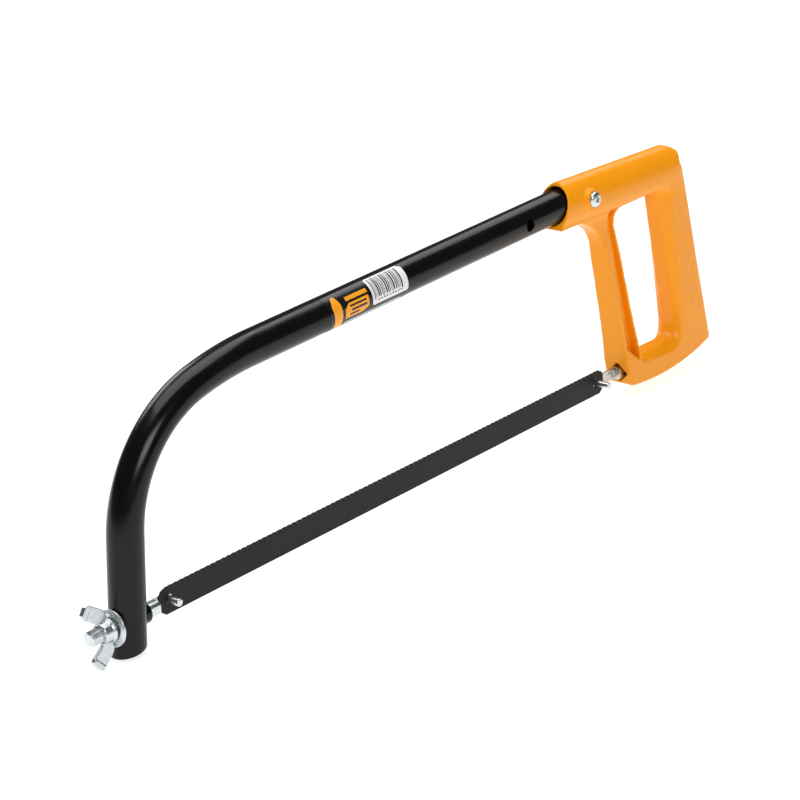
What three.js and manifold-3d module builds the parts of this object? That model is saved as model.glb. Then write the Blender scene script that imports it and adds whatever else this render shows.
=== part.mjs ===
// Hacksaw with a bent tubular frame, a cast D-shaped handle and a wing-nut blade tensioner.
// Millimetres, +Z up. X runs along the blade from its front pin to the handle, Y across the saw,
// and Z = 0 is the blade's centre line until the whole saw is moved onto its base at the end.
import * as THREE from 'three';
import { mergeVertices } from 'three/addons/utils/BufferGeometryUtils.js';
import Module from 'manifold-3d';

const wasm = await Module();
wasm.setup();

// ---------- driving dimensions ----------
const GAP = 0.3;
const blade = { span: 300, overhang: 6, width: 12.7, thick: 0.65, near: 0.25, hole: 2.25, corner: 3.2 };
const pin = { radius: 1.7, slack: 0.15, seat: 1.5, frontTip: -6.4, rearTip: -8.2 };
const bar = { half: 3.15, turned: 3.5, flat: 1.0 };
const tube = { radius: 8, bore: 6.6, flatten: 1.0, slope: 1.75, lean: 6.1, stock: -18, end: 297 };
const foot = { z: -12.1, rise: 0.168 };
const bend = { wide: 160, wideShare: 0.15, wideSteps: 4, tight: 61, tightSteps: 18 };
const axisAtMiddle = { x: 150, z: 97 };
const legAxis = { x: -24.75 };
const spareHole = { x: 243, radius: 2.9 };
const bush = { radius: 4.8, front: -32.1, rear: -14.3 };
const washer = { radius: 8.1, bore: 3.9, thick: 1.4, rear: -32.9 };
const nut = { seat: -35, hub: 5.0, neck: 4.6, height: 5.6, bore: 3.62, wing: 2.1, turnedBy: 11.5 };
const bolt = { front: -46.5, rear: 6.2, flatEnd: -8.5 };
const holder = { front: 293.8, rear: 328.5, flatEnd: 316.2, stud: 312.4 };
const crossPin = { x: 323.5, radius: 1.5, inner: -2.6 };
const handle = { half: 7.8, ledge: 90.4, gripRound: 5.5 };
const swelling = { half: 9.3, from: 58, to: 99 };
const topBar = { x: 320, z: 99.7, slope: -1.5, side: 9.6, crown: 11.4, crease: -8.6, flange: 7.6 };
const socket = { side: 8.4, height: 9.3, lift: 0.1, floor: 351 };
const screw = { x: 289.5, shank: 2.3, hole: 2.55, boss: 5.2, seat: 10.8, head: 3.85, headHeight: 2.3 };
const squareHole = { side: 8, floor: 329 };
const opening = { wall: 3.8, floor: 6.3, legCorner: 11, topCorner: 5, rearCorner: 12 };
const pocket = { web: 1.5, rim: 1.3, top: 90 };
const screwNut = { acrossFlats: 8, thick: 3.6 };
const label = { from: 102, to: 154.5, inner: 8.12, outer: 8.24, start: 102, sweep: 145 };

const rad = THREE.MathUtils.degToRad;
const tubeSlope = Math.tan(rad(tube.slope));
const legSlope = Math.tan(rad(tube.lean));
const barTilt = rad(topBar.slope);

// ---------- materials ----------
function finish(color, roughness, metalness) {
  return new THREE.MeshStandardMaterial({ color, roughness, metalness });
}

const blackPaint = finish(0x161616, 0.35, 0.1);
const orangePaint = finish(0xf79a1c, 0.3, 0.05);
const zinc = finish(0xb9c2c6, 0.28, 0.9);
const bladeSteel = finish(0x2b2927, 0.55, 0.4);
const labelFilm = finish(0xe8e6e0, 0.5, 0);

// ---------- solids: joining, cutting and placing ----------
function solidOf(geometry) {
  const bare = geometry.index ? geometry.clone() : geometry;
  bare.deleteAttribute('normal');
  bare.deleteAttribute('uv');
  const merged = mergeVertices(bare, 1e-4);
  const vertProperties = new Float32Array(merged.attributes.position.array);
  const triVerts = new Uint32Array(merged.index.array);
  return new wasm.Manifold(new wasm.Mesh({ numProp: 3, vertProperties, triVerts }));
}

function geometryOf(solid) {
  const mesh = solid.getMesh();
  const geometry = new THREE.BufferGeometry();
  geometry.setAttribute('position', new THREE.BufferAttribute(mesh.vertProperties, 3));
  geometry.setIndex(new THREE.BufferAttribute(mesh.triVerts, 1));
  geometry.computeVertexNormals();
  return geometry;
}

const cutAll = (solid, cutters) => cutters.reduce((left, cutter) => left.subtract(cutter), solid);
const joinAll = (solids) => solids.reduce((joined, next) => joined.add(next));

// An outline of [u, v] points or ready shape, extruded from 0 to depth.
function extruded(outline, depth, options = {}) {
  const ready = outline instanceof THREE.Shape;
  const shape = ready ? outline : new THREE.Shape(outline.map(([u, v]) => new THREE.Vector2(u, v)));
  return new THREE.ExtrudeGeometry(shape, { depth, bevelEnabled: false, curveSegments: 12, ...options });
}

// Side view outlines are drawn in X and Z and run across the saw from y0 to y1.
function sidePrism(outline, y0, y1, options = {}) {
  return extruded(outline, y1 - y0, options).rotateX(Math.PI / 2).translate(0, y1, 0);
}

// Front view outlines are drawn in Y and Z and run along the saw from x0 to x1.
function lengthPrism(outline, x0, x1) {
  return extruded(outline, x1 - x0).rotateY(Math.PI / 2).rotateX(Math.PI / 2).translate(x0, 0, 0);
}

function alongX(radius, x0, x1, y = 0, z = 0, sides = 32) {
  const rod = new THREE.CylinderGeometry(radius, radius, x1 - x0, sides).rotateZ(Math.PI / 2);
  return rod.translate((x0 + x1) / 2, y, z);
}

function alongY(radius, y0, y1, x, z, sides = 28) {
  return new THREE.CylinderGeometry(radius, radius, y1 - y0, sides).translate(x, (y0 + y1) / 2, z);
}

// A turned profile of [radius, height] points about the Y axis.
function turned(profile, sides = 36) {
  return new THREE.LatheGeometry(profile.map(([r, h]) => new THREE.Vector2(r, h)), sides);
}

// Square bar stock with its corners turned down to a circle.
function turnedSquare(half, radius) {
  const start = Math.acos(half / radius);
  const shape = new THREE.Shape();
  for (let corner = 0; corner < 4; corner += 1) {
    const turn = corner * Math.PI / 2;
    shape.absarc(0, 0, radius, turn + start, turn + Math.PI / 2 - start, false);
  }
  return shape;
}

// ---------- frame tube ----------
const tubeAxisZ = (x) => axisAtMiddle.z + (x - axisAtMiddle.x) * tubeSlope;
const screwZ = tubeAxisZ(screw.x);

// The bend as [x, z] steps away from the straight run: a wide arc, then a tight one.
function bendPoints() {
  const turnAngle = Math.PI / 2 - rad(tube.lean) - rad(tube.slope);
  const arcs = [
    { radius: bend.wide, angle: turnAngle * bend.wideShare, steps: bend.wideSteps },
    { radius: bend.tight, angle: turnAngle * (1 - bend.wideShare), steps: bend.tightSteps },
  ];
  const points = [[0, 0]];
  let heading = rad(tube.slope);
  for (const { radius, angle, steps } of arcs) {
    const turn = angle / steps;
    const chord = 2 * radius * Math.sin(turn / 2);
    for (let step = 0; step < steps; step += 1) {
      const [x, z] = points.at(-1);
      points.push([x - chord * Math.cos(heading + turn / 2), z - chord * Math.sin(heading + turn / 2)]);
      heading += turn;
    }
  }
  return points;
}

// The axis of the tube: the straight run, the bend and the leaning front leg.
class FrameAxis extends THREE.Curve {
  constructor() {
    super();
    const bent = bendPoints();
    const [dx, dz] = bent.at(-1);
    const startX = (legAxis.x + (tubeAxisZ(0) + dz) * legSlope - dx) / (1 - legSlope * tubeSlope);
    const startZ = tubeAxisZ(startX);
    const tubeEnd = new THREE.Vector3(tube.end, 0, tubeAxisZ(tube.end));
    const legEnd = new THREE.Vector3(legAxis.x + tube.stock * legSlope, 0, tube.stock);
    this.stations = [
      tubeEnd,
      ...bent.map(([x, z]) => new THREE.Vector3(startX + x, 0, startZ + z)),
      legEnd,
    ];
  }

  getPoint(t, target = new THREE.Vector3()) {
    const place = Math.min(t, 1) * (this.stations.length - 1);
    const index = Math.min(Math.floor(place), this.stations.length - 2);
    return target.lerpVectors(this.stations[index], this.stations[index + 1], place - index);
  }

  // Stations are spaced by parameter, so that they are dense only in the bend.
  getUtoTmapping(u) {
    return u;
  }
}

const frameAxis = new FrameAxis();

// Bending squeezes the tube across the bend, most at its middle.
function squeezeBend(geometry) {
  const first = 1;
  const last = frameAxis.stations.length - 2;
  const position = geometry.attributes.position;
  const point = new THREE.Vector3();
  for (let i = 0; i < position.count; i += 1) {
    point.fromBufferAttribute(position, i);
    const flat = point.clone().setY(0);
    let nearest = 0;
    frameAxis.stations.forEach((station, index) => {
      if (station.distanceTo(flat) < frameAxis.stations[nearest].distanceTo(flat)) nearest = index;
    });
    if (nearest <= first || nearest >= last) continue;
    const share = (nearest - first) / (last - first);
    const squeeze = 1 - (tube.flatten / tube.radius) * Math.sin(Math.PI * share);
    const { x, z } = frameAxis.stations[nearest];
    position.setXYZ(i, x + (point.x - x) * squeeze, point.y, z + (point.z - z) * squeeze);
  }
  return geometry;
}

// Everything below the foot, whose cut rises towards the back of the leg.
function footCutter() {
  const [front, rear] = [-14, 14];
  const cutZ = (dx) => foot.z + foot.rise * dx;
  const outline = [[front, cutZ(front)], [front, -30], [rear, -30], [rear, cutZ(rear)]];
  return solidOf(sidePrism(outline.map(([dx, z]) => [legAxis.x + dx, z]), -12, 12));
}

function frameTube() {
  const ring = new THREE.Shape().absarc(0, 0, tube.radius, 0, 2 * Math.PI, false);
  ring.holes.push(new THREE.Path().absarc(0, 0, tube.bore, 0, 2 * Math.PI, true));
  const steps = frameAxis.stations.length - 1;
  const swept = new THREE.ExtrudeGeometry(ring, { steps, curveSegments: 16, extrudePath: frameAxis });
  return cutAll(solidOf(squeezeBend(swept)), [
    footCutter(),
    solidOf(alongY(screw.hole, -12, 12, screw.x, screwZ, 16)),
    solidOf(alongY(spareHole.radius, -12, 12, spareHole.x, tubeAxisZ(spareHole.x), 20)),
    solidOf(alongX(bush.radius + GAP, bush.front - 6, bush.rear + 6, 0, 0, 28)),
  ]);
}

// ---------- handle ----------
const frontFaceX = (z) => 318.6 - 0.2 * z;
const legRearX = (z) => 330.9 - 0.212 * z;
const gripFrontX = (z) => 366.5 - 0.1875 * z;
const rearLean = Math.atan(0.2296);
const rearX = (z) => 393.7 - z * Math.tan(rearLean);

// A solid that is straight along the leaning rear edge, drawn as seen from above, with its
// outline's x = 0 on that edge.
function rearPrism(outline) {
  const lift = 160;
  const shear = new THREE.Matrix4().makeShear(0, 0, 0, 0, -Math.tan(rearLean), 0);
  const bottom = -20;
  return extruded(outline, lift).applyMatrix4(shear).translate(rearX(bottom), 0, bottom);
}

// The handle seen from the side, without its opening.
function plateOutline() {
  const { ledge } = handle;
  const shape = new THREE.Shape();
  shape.moveTo(frontFaceX(-5.2), -5.2);
  shape.quadraticCurveTo(frontFaceX(-6.4), -6.4, frontFaceX(-6.4) + 1.6, -6.7);
  shape.quadraticCurveTo(357, -11.2, rearX(-0.6) - 4, -2.0);
  shape.quadraticCurveTo(rearX(-0.6), -0.6, rearX(3), 3);
  shape.lineTo(rearX(98), 98);
  shape.lineTo(281, 98);
  shape.lineTo(281, ledge);
  shape.bezierCurveTo(291, 87.5, 302.3, 83, frontFaceX(70), 70);
  return shape;
}

// The finger opening seen from the side, its leg side moved by left.
function openingOutline(left) {
  const { floor, legCorner, topCorner, rearCorner } = opening;
  const top = handle.ledge;
  const legX = (z) => legRearX(z) + left;
  const shape = new THREE.Shape();
  shape.moveTo(legX(floor), floor);
  shape.lineTo(gripFrontX(floor) - rearCorner, floor);
  shape.quadraticCurveTo(gripFrontX(floor), floor, gripFrontX(floor + rearCorner), floor + rearCorner);
  shape.lineTo(gripFrontX(top - topCorner), top - topCorner);
  shape.quadraticCurveTo(gripFrontX(top), top, gripFrontX(top) - topCorner, top);
  shape.lineTo(legX(top) + legCorner, top);
  shape.quadraticCurveTo(legX(top), top, legX(top - legCorner), top - legCorner);
  return shape;
}

// The wide bevel round the opening's grip side and floor, on the +Y face. It starts at the wall's
// edge and grows towards the face, most at the top of the grip.
function bevelCutter() {
  const { wall, floor } = opening;
  const { half, ledge } = handle;
  const cutter = sidePrism(openingOutline(0.6), wall, half + 2.2);
  const position = cutter.attributes.position;
  for (let i = 0; i < position.count; i += 1) {
    const [x, y, z] = [position.getX(i), position.getY(i), position.getZ(i)];
    const share = (y - wall) / (half - wall);
    const across = ((x - legRearX(z)) / (gripFrontX(z) - legRearX(z))) ** 3;
    const down = ((ledge - z) / (ledge - floor)) ** 3;
    const grownX = x + share * across * (0.5 + 0.0775 * z);
    position.setXYZ(i, grownX, y, z - share * down * (2.7 + 0.08 * (x - legRearX(floor))));
  }
  return solidOf(cutter);
}

// The opening's through cut, and its bevel on both faces.
function openingCutters() {
  const bevel = bevelCutter();
  return [solidOf(sidePrism(openingOutline(0), -20, 20)), bevel, bevel.mirror([0, 1, 0])];
}

// The leg is slimmest below the bar and widens again towards the blade holder.
function legSideCutters() {
  const { half, ledge } = handle;
  const shape = new THREE.Shape();
  shape.moveTo(half, ledge);
  shape.quadraticCurveTo(4.7, ledge, 4.3, 80);
  shape.quadraticCurveTo(4.6, 74, 5.2, 66);
  shape.lineTo(5.9, 36);
  shape.quadraticCurveTo(6.3, 24, 7.0, 15);
  shape.lineTo(half, 6.3);
  shape.lineTo(14, 6.3);
  shape.lineTo(14, ledge);
  const right = solidOf(lengthPrism(shape, 275, 331));
  return [right, right.mirror([0, 1, 0])];
}

// The pocket in each side of the leg, which leaves a web between a front flange and a thin rear rim.
function pocketCutters() {
  const { web, rim, top } = pocket;
  const rimX = (z) => legRearX(z) - rim;
  const shape = new THREE.Shape();
  shape.moveTo(308.5, top);
  shape.lineTo(308, 84);
  shape.lineTo(316.9, 28);
  shape.lineTo(318, 13.9);
  shape.lineTo(327.6, 5.2);
  shape.lineTo(rimX(9), 9);
  shape.lineTo(rimX(79), 79);
  shape.quadraticCurveTo(rimX(top), top, rimX(top) + 6, top);
  const right = solidOf(sidePrism(shape, web, 14));
  return [right, right.mirror([0, 1, 0])];
}

// The handle's plan at the grip, given as half its thickness: round at the rear edge, at x = 0.
function gripPlan(half, front, frontHalf) {
  const round = handle.gripRound + half - handle.half;
  const shape = new THREE.Shape();
  shape.absarc(-round, half - round, round, 0, Math.PI / 2, false);
  front.forEach((x, i) => shape.lineTo(x, i ? frontHalf : half));
  [...front].reverse().forEach((x, i) => shape.lineTo(x, i ? -half : -frontHalf));
  shape.absarc(-round, round - half, round, -Math.PI / 2, 0, false);
  return shape;
}

// The grip thickens towards the top bar, so that the two run into each other.
function gripSwelling() {
  const { half, from, to } = swelling;
  const shape = new THREE.Shape();
  shape.moveTo(handle.half, from);
  shape.quadraticCurveTo(handle.half, 84, half, to);
  shape.lineTo(-half, to);
  shape.quadraticCurveTo(-handle.half, 84, -handle.half, from);
  const plan = rearPrism(gripPlan(half, [-18, -34], handle.half - 0.6));
  return solidOf(lengthPrism(shape, 335, 385)).intersect(solidOf(plan));
}

// The top bar's section in Y and Z: a tall crown, drawn in below to a flat flange.
function barSection() {
  const { side, crown, crease, flange } = topBar;
  const shape = new THREE.Shape();
  shape.moveTo(flange, crease - 5);
  shape.lineTo(flange, crease);
  shape.bezierCurveTo(8.8, -7.2, side, -4.8, side, -1.5);
  shape.bezierCurveTo(side, 3.6, 5.4, crown, 0, crown);
  shape.bezierCurveTo(-5.4, crown, -side, 3.6, -side, -1.5);
  shape.bezierCurveTo(-side, -4.8, -8.8, -7.2, -flange, crease);
  shape.lineTo(-flange, crease - 5);
  return shape;
}

function handleBody() {
  const { half, ledge } = handle;
  const place = (geometry) => geometry.rotateY(-barTilt).translate(topBar.x, 0, topBar.z);
  const barBlank = solidOf(place(lengthPrism(barSection(), -65, 65)));

  const barSide = new THREE.Shape();
  const top = 117;
  const mouthX = (z) => 270.5 + (z - 100.5) / 3;
  barSide.moveTo(mouthX(ledge), ledge);
  barSide.lineTo(rearX(ledge), ledge);
  barSide.lineTo(rearX(98), 98);
  barSide.bezierCurveTo(rearX(106.5), 106.5, rearX(110) - 4, 110.5, rearX(110) - 11, 110.8);
  barSide.lineTo(rearX(110) - 19, top);
  barSide.lineTo(mouthX(top), top);
  const barPlan = new THREE.Shape();
  barPlan.absarc(-topBar.side, 0, topBar.side, -Math.PI / 2, Math.PI / 2, false);
  barPlan.lineTo(-150, topBar.side);
  barPlan.lineTo(-150, -topBar.side);
  const barTrims = [sidePrism(barSide, -20, 20), rearPrism(barPlan)].map(solidOf);
  const barSolid = barTrims.reduce((left, trim) => left.intersect(trim), barBlank);

  const platePlan = rearPrism(gripPlan(half, [-150], half));
  const plate = solidOf(sidePrism(plateOutline(), -half, half)).intersect(solidOf(platePlan));
  const cutPlate = cutAll(plate.add(gripSwelling()), [...openingCutters(), ...legSideCutters(), ...pocketCutters()]);

  const boss = solidOf(alongY(screw.boss, -screw.seat, screw.seat, screw.x, screwZ, 32));
  const oval = new THREE.Shape().absellipse(0, socket.lift, socket.side, socket.height, 0, 2 * Math.PI);
  const bore = lengthPrism(oval, -70, socket.floor - topBar.x);
  const square = turnedSquare(squareHole.side / 2, squareHole.side / 2 * Math.SQRT2 - 0.001);
  const squareCut = lengthPrism(square, 305, squareHole.floor).rotateX(Math.PI / 4);
  return cutAll(joinAll([barSolid, cutPlate, boss]), [
    solidOf(place(bore)),
    solidOf(alongY(screw.hole, -20, 20, screw.x, screwZ, 16)),
    solidOf(squareCut),
    solidOf(alongY(crossPin.radius + 0.1, crossPin.inner, 20, crossPin.x, 0, 16)),
  ]);
}

// ---------- handle fasteners ----------
// Pan-head screw: its cross recess, domed head and plain shank point along -Y.
function handleScrew() {
  const { head, headHeight, shank, seat } = screw;
  const tip = seat + 5.2;
  const profile = [[0, -tip], [shank, -tip], [shank, seat], [head, seat], [head, seat + 1.0],
    [head * 0.86, seat + 1.9], [head * 0.5, seat + headHeight - 0.1], [0, seat + headHeight]];
  const body = solidOf(turned(profile, 32).rotateX(Math.PI).translate(screw.x, 0, screwZ));
  const slot = (turn) => new THREE.BoxGeometry(1.0, 1.7, 4.2).rotateY(turn)
    .translate(screw.x, -seat - headHeight + 0.6, screwZ);
  return cutAll(body, [solidOf(slot(0.4)), solidOf(slot(0.4 + Math.PI / 2))]);
}

function handleNut() {
  const { acrossFlats, thick } = screwNut;
  const corner = acrossFlats / Math.sqrt(3);
  const hex = new THREE.CylinderGeometry(corner, corner, thick, 6);
  hex.translate(screw.x, screw.seat + 0.1 + thick / 2, screwZ);
  return solidOf(hex).subtract(solidOf(alongY(screw.shank + 0.1, 10, 20, screw.x, screwZ, 20)));
}

// ---------- blade holders ----------
function bladeFlat(x0, x1) {
  const box = new THREE.BoxGeometry(x1 - x0, 10, 12);
  return solidOf(box.translate((x0 + x1) / 2, bar.flat - 5, 0));
}

// A round seat in the flat that a blade pin is pressed into.
function pinSeat(x) {
  return solidOf(alongY(pin.radius + 0.1, -1, bar.flat + pin.seat + 0.1, x, 0, 20));
}

const frontPinX = -(blade.hole - pin.radius - pin.slack);
const rearPinX = blade.span - frontPinX;

function tensionBolt() {
  const stock = solidOf(lengthPrism(turnedSquare(bar.half, bar.turned), bolt.front, bolt.rear));
  return cutAll(stock, [bladeFlat(bolt.flatEnd, bolt.rear + 1), pinSeat(frontPinX)]);
}

function rearBladeHolder() {
  const stock = solidOf(lengthPrism(turnedSquare(bar.half, bar.turned), holder.front, holder.rear));
  const studSeat = alongY(0.8, bar.flat - 1, bar.flat + 1.3, holder.stud, 0.5, 12);
  return cutAll(stock, [
    bladeFlat(holder.front - 1, holder.flatEnd),
    pinSeat(rearPinX),
    solidOf(studSeat),
    solidOf(alongY(crossPin.radius + 0.1, -6, 6, crossPin.x, 0, 16)),
  ]);
}

// A blade pin stands out of the holder through the blade, with a rounded tip.
function bladePin(x, tip) {
  const { radius, seat } = pin;
  const root = bar.flat + seat;
  const profile = [[0, tip], [radius - 0.7, tip], [radius - 0.25, tip + 0.2], [radius, tip + 0.6],
    [radius, root], [0, root]];
  return turned(profile, 24).translate(x, 0, 0);
}

function holderStud() {
  const profile = [[0, -0.8], [0.6, -0.7], [1.05, -0.35], [1.15, -0.02], [0.7, -0.02], [0.7, 1.1], [0, 1.1]];
  return turned(profile, 20).translate(holder.stud, bar.flat, 0.5);
}

// A blind pin through the handle's far side that keeps the holder in its square hole.
function holderCrossPin() {
  return alongY(crossPin.radius, crossPin.inner + 0.1, handle.half - 0.4, crossPin.x, 0, 20);
}

// ---------- front tensioner ----------
function guideBush() {
  const { radius, front, rear } = bush;
  const profile = [[0, front], [radius, front], [radius, rear - 0.8], [radius - 0.8, rear], [0, rear]];
  const sleeve = solidOf(turned(profile, 36).rotateZ(-Math.PI / 2));
  const squareBore = lengthPrism(turnedSquare(bar.half + 0.2, bar.turned + 0.25), front - 1, rear + 1);
  return sleeve.subtract(solidOf(squareBore));
}

// The washer lies flat against the leaning leg.
function tensionWasher() {
  const { radius, bore, thick, rear } = washer;
  const profile = [[bore, 0], [bore, -thick], [radius - 1.2, -thick], [radius - 0.3, 0.35 - thick],
    [radius, 0.9 - thick], [radius, 0], [bore, 0]];
  return turned(profile, 44).rotateZ(-Math.PI / 2).rotateY(rad(tube.lean)).translate(rear, 0, 0);
}

// The wings rise from the hub as two bent strips with a bead along their tips.
function wingNut() {
  const { seat, hub, neck, height, bore, wing, turnedBy } = nut;
  const hubProfile = [[bore, 0], [hub + 0.5, 0], [hub + 0.5, 0.9], [hub, 1.4], [neck, height - 0.6],
    [neck - 0.6, height], [bore + 0.5, height], [bore, height - 0.5], [bore, 0]];
  const body = solidOf(turned(hubProfile, 40));
  const outline = new THREE.Shape();
  outline.moveTo(4.1, 0.3);
  outline.lineTo(8.0, 0.3);
  outline.quadraticCurveTo(9.7, 1.4, 10.7, 3.0);
  outline.lineTo(13.7, 7.3);
  outline.quadraticCurveTo(14.6, 8.7, 13.4, 9.7);
  outline.lineTo(10.9, 11.8);
  outline.quadraticCurveTo(9.5, 12.6, 8.5, 11.5);
  outline.lineTo(4.1, 4.9);
  const bead = [[13.1, 7.1], [14.4, 8.2], [13.7, 9.7], [10.9, 12.1], [9.5, 12.2], [8.7, 10.9]];
  const wings = [0, Math.PI].flatMap((turn) => {
    const strip = extruded(outline, wing).translate(0, 0, -wing / 2);
    const lip = extruded(bead, wing + 0.7).translate(0, 0, -wing / 2 - 0.35);
    return [strip, lip].map((piece) => solidOf(piece.rotateY(turn)));
  });
  const cleared = cutAll(joinAll([body, ...wings]), [solidOf(alongY(bore, -1, 20, 0, 0, 40))]);
  const geometry = geometryOf(cleared);
  return geometry.rotateZ(Math.PI / 2).rotateX(rad(90 - turnedBy)).translate(seat, 0, 0);
}

// ---------- blade and label ----------
function sawBlade() {
  const { span, overhang, width, thick, near, hole, corner } = blade;
  const half = width / 2;
  const [x0, x1] = [-overhang, span + overhang];
  const outline = [[x0 + corner, -half], [x1 - corner, -half], [x1, corner - half], [x1, half - corner],
    [x1 - corner, half], [x0 + corner, half], [x0, half - corner], [x0, corner - half]];
  const strip = solidOf(sidePrism(outline, near, near + thick));
  return cutAll(strip, [0, span].map((x) => solidOf(alongY(hole, near - 1, near + 2, x, 0, 24))));
}

// A thin curved film on the near side of the tube's straight run.
function tubeLabel() {
  const { from, to, inner, outer, start, sweep } = label;
  const [a0, a1] = [rad(start), rad(start + sweep)];
  const shape = new THREE.Shape();
  shape.absarc(0, 0, outer, a0, a1, false);
  shape.absarc(0, 0, inner, a1, a0, true);
  const film = extruded(shape, to - from, { curveSegments: 20 });
  film.rotateY(Math.PI / 2).rotateX(Math.PI / 2).translate(from - axisAtMiddle.x, 0, 0);
  return film.rotateY(-rad(tube.slope)).translate(axisAtMiddle.x, 0, axisAtMiddle.z);
}

// ---------- assembly ----------
const saw = new THREE.Group();

function addPiece(name, shape, material) {
  const mesh = new THREE.Mesh(shape.isBufferGeometry ? shape : geometryOf(shape), material);
  mesh.name = name;
  saw.add(mesh);
}

addPiece('frame_tube', frameTube(), blackPaint);
addPiece('guide_bush', guideBush(), blackPaint);
addPiece('tube_label', tubeLabel(), labelFilm);
addPiece('handle', handleBody(), orangePaint);
addPiece('handle_screw', handleScrew(), zinc);
addPiece('handle_nut', handleNut(), zinc);
addPiece('rear_blade_holder', rearBladeHolder(), zinc);
addPiece('rear_blade_pin', bladePin(rearPinX, pin.rearTip), zinc);
addPiece('holder_stud', holderStud(), zinc);
addPiece('holder_cross_pin', holderCrossPin(), zinc);
addPiece('tension_bolt', tensionBolt(), zinc);
addPiece('front_blade_pin', bladePin(frontPinX, pin.frontTip), zinc);
addPiece('tension_washer', tensionWasher(), zinc);
addPiece('wing_nut', wingNut(), zinc);
addPiece('saw_blade', sawBlade(), bladeSteel);

// The origin is the bottom centre of the whole saw's box.
const box = new THREE.Box3().setFromObject(saw, true);
saw.position.set(-(box.min.x + box.max.x) / 2, -(box.min.y + box.max.y) / 2, -box.min.z);
saw.updateMatrixWorld(true);

export default saw;
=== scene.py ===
"""Hacksaw: the looks. Every shape is made in the saw's own millimetre frame, in which X runs along the
blade from its front pin hole to the handle, Y runs across the saw and Z = 0 is the blade's centre line."""
import math

import bmesh
import bpy
from mathutils import Matrix, Vector


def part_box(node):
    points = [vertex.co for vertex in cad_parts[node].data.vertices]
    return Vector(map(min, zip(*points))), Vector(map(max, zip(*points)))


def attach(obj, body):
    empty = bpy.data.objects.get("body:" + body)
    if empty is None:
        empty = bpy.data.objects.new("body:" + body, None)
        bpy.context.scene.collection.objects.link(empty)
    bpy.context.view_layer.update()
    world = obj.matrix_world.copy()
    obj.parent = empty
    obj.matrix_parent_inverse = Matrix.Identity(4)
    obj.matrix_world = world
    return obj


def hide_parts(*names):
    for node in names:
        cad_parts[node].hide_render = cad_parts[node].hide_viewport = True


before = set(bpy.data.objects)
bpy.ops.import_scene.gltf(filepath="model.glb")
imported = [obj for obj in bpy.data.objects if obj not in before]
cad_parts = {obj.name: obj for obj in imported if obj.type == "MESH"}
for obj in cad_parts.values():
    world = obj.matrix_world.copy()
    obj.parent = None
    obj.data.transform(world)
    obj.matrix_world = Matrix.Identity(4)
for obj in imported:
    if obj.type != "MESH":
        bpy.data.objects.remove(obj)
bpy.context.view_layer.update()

# ---------- driving sizes, in millimetres and degrees ----------
MM = 0.001
BLADE = {"span": 300, "overhang": 6, "half": 6.35, "near": 0.25, "thick": 0.65, "hole": 2.25, "corner": 3.2}
TEETH = {"pitch": 25.4 / 24, "depth": 0.75, "wave": 25.4 / 8, "set": 0.2}
PIN = {"radius": 1.7, "slack": 0.15, "front_tip": -6.4, "rear_tip": -8.2}
BAR = {"half": 3.15, "turned": 3.5, "flat": 1.0}
TUBE = {"radius": 8, "bore": 6.6, "flatten": 1.0, "slope": 1.75, "lean": 6.1, "end": 297}
FOOT = {"z": -12.1, "rise": 0.168}
BEND = {"wide": 160, "share": 0.15, "wide_steps": 12, "tight": 61, "tight_steps": 60}
AXIS_AT_MIDDLE = (150, 97)
LEG_X = -24.75
SPARE_HOLE = {"x": 243, "radius": 2.9}
BUSH = {"radius": 4.8, "front": -32.1, "rear": -14.3}
WASHER = {"radius": 8.1, "bore": 3.9, "thick": 1.4, "rear": -32.9}
NUT = {"seat": -35, "hub": 5.0, "neck": 4.6, "height": 5.6, "bore": 3.62, "wing": 2.1, "turned_by": 11.5}
BOLT = {"front": -46.5, "rear": 6.2, "flat_end": -8.5, "thread_end": -20, "pitch": 1.0, "root": 2.8}
HOLDER = {"front": 293.8, "rear": 328.5, "flat_end": 316.2, "stud": 312.4}
HANDLE = {"half": 7.8, "ledge": 90.4, "grip_round": 5.5, "hole": 4, "voxel": 0.4}
SWELLING = {"half": 9.3, "from": 50, "to": 99, "inset": 0.3, "under": 0.8}
FRONT_FACE = {"foot": 318.6, "lean": 0.2}
LEG_REAR = {"foot": 330.9, "lean": 0.212}
GRIP_FRONT = {"foot": 366.5, "lean": 0.1875}
REAR_EDGE = {"foot": 393.7, "lean": 0.2296}
TOP_BAR = {"x": 320, "z": 99.7, "slope": -1.5, "side": 9.6, "crown": 11.4, "crease": -8.6, "flange": 7.6}
MOUTH = {"x": 270.5, "z": 100.5, "run": 3}
SOCKET = {"side": 8.4, "height": 9.3, "lift": 0.1, "floor": 351}
SCREW = {"x": 289.5, "shank": 2.3, "hole": 2.55, "boss": 5.2, "seat": 10.8, "head": 3.85, "rise": 2.3}
CROSS_PIN = {"x": 323.5, "radius": 1.5, "inner": -2.6}
OPENING = {"wall": 3.8, "floor": 6.3, "leg_corner": 11, "top_corner": 5, "rear_corner": 12}
BEVEL = {"shift": 0.6, "rear": 0.5, "rear_growth": 0.0775, "floor": 2.7, "floor_growth": 0.08}
POCKET = {"web": 1.5, "rim": 1.3, "top": 90}
LABEL = {"from": 102, "to": 154.5, "low": -65, "high": 78}
FILM = {"base": 8.06, "top": 8.12, "ink": 8.15, "over": 8.17}
CAMERA = {"place": (-609.229, -694.268, 431.923), "azimuth": -47.618, "elevation": 20.838, "roll": -3.89}

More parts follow.
